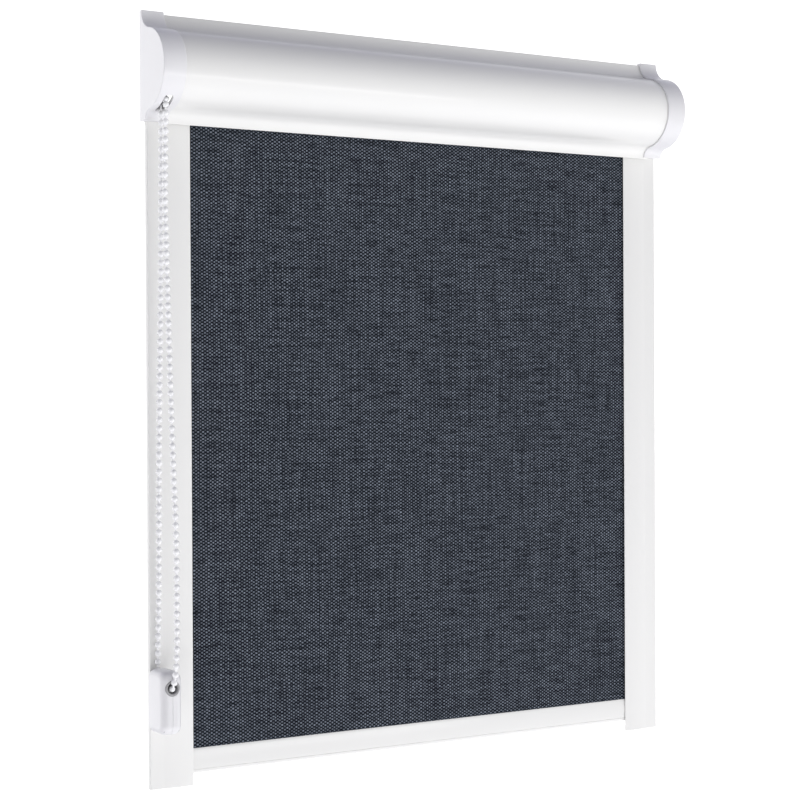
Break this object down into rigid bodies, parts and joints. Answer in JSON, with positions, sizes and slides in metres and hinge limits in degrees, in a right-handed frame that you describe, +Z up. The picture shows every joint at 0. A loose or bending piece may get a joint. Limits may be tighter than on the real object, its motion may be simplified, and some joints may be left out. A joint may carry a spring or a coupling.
{
  "type": "roller blind",
  "caption": "Cassette roller blind with white end caps, slim side guides, a dark woven fabric, a flat bottom bar and a bead chain with a weight.",
  "frame": {"origin": "centre of the adhesive strip on the back of the cassette, on the plane of the window frame", "axes": "+X along the roller to the right as seen from the room, +Y from the room into the window, +Z up"},
  "size_m": [0.458, 0.04, 0.5412],
  "materials": {
    "white_profile": "white powder coat, satin gloss",
    "white_plastic": "white moulded, satin gloss",
    "chain_plastic": "white moulded beads",
    "foam_tape": "foam strip with paper liner",
    "grey_plastic": "moulded",
    "dark_plastic": "moulded",
    "steel": "zinc plated",
    "bare_aluminium": "mill finish",
    "blind_fabric": "linen-look weave, charcoal"
  },
  "bodies": {
    "frame": {"cassette_cover": "white_profile", "cassette_tape": "foam_tape", "end_cap_left": "white_plastic", "end_cap_right": "white_plastic", "guide_left": "white_profile", "guide_right": "white_profile", "guide_lip_left": "white_profile", "guide_lip_right": "white_profile", "guide_strip_left": "white_profile", "guide_strip_right": "white_profile", "guide_tape_left": "foam_tape", "guide_tape_right": "foam_tape", "guide_stop_left": "grey_plastic", "guide_stop_right": "grey_plastic", "clutch_core": "dark_plastic", "core_screw": "steel", "clutch_spring": "steel", "idle_socket": "dark_plastic", "fabric_sheet": "blind_fabric", "chain_upper": "chain_plastic"},
    "roller": {"sprocket": "grey_plastic", "drive_hub": "grey_plastic", "roller_tube": "bare_aluminium", "fabric_roll": "blind_fabric", "idle_plug": "grey_plastic", "idle_spring": "steel"},
    "pin": {"idle_pin": "steel"},
    "bar": {"bottom_bar": "white_profile", "hem_strip": "blind_fabric", "bar_ballast": "steel", "bar_glide_left": "white_plastic", "bar_glide_right": "white_plastic"},
    "chain": {"chain_runs": "chain_plastic", "weight_shell_outer": "white_plastic", "weight_shell_inner": "white_plastic", "weight_slug": "steel"}
  },
  "joints": [
    {"name": "bar_slide", "type": "slide", "parent": "frame", "child": "bar", "axis": [0, 0, 1], "range_m": [0, 0.436], "deforming": ["fabric_sheet"]},
    {"name": "roller_turn", "type": "hinge", "parent": "frame", "child": "roller", "pos_m": [0, -0.018, -0.0285], "axis": [1, 0, 0], "range_deg": [0, 1710]},
    {"name": "chain_swing", "type": "hinge", "parent": "frame", "child": "chain", "pos_m": [-0.2208, -0.0185, -0.054], "axis": [-1, 0, 0], "range_deg": [0, 25]},
    {"name": "idle_pin_press", "type": "slide", "parent": "roller", "child": "pin", "axis": [-1, 0, 0], "range_m": [0, 0.006], "stiffness_N_per_m": 300, "springref_m": -0.006, "deforming": ["idle_spring"]}
  ],
  "couplings": [
    {"joint": "roller_turn", "follows": "bar_slide", "rad_per_m": 68}
  ]
}
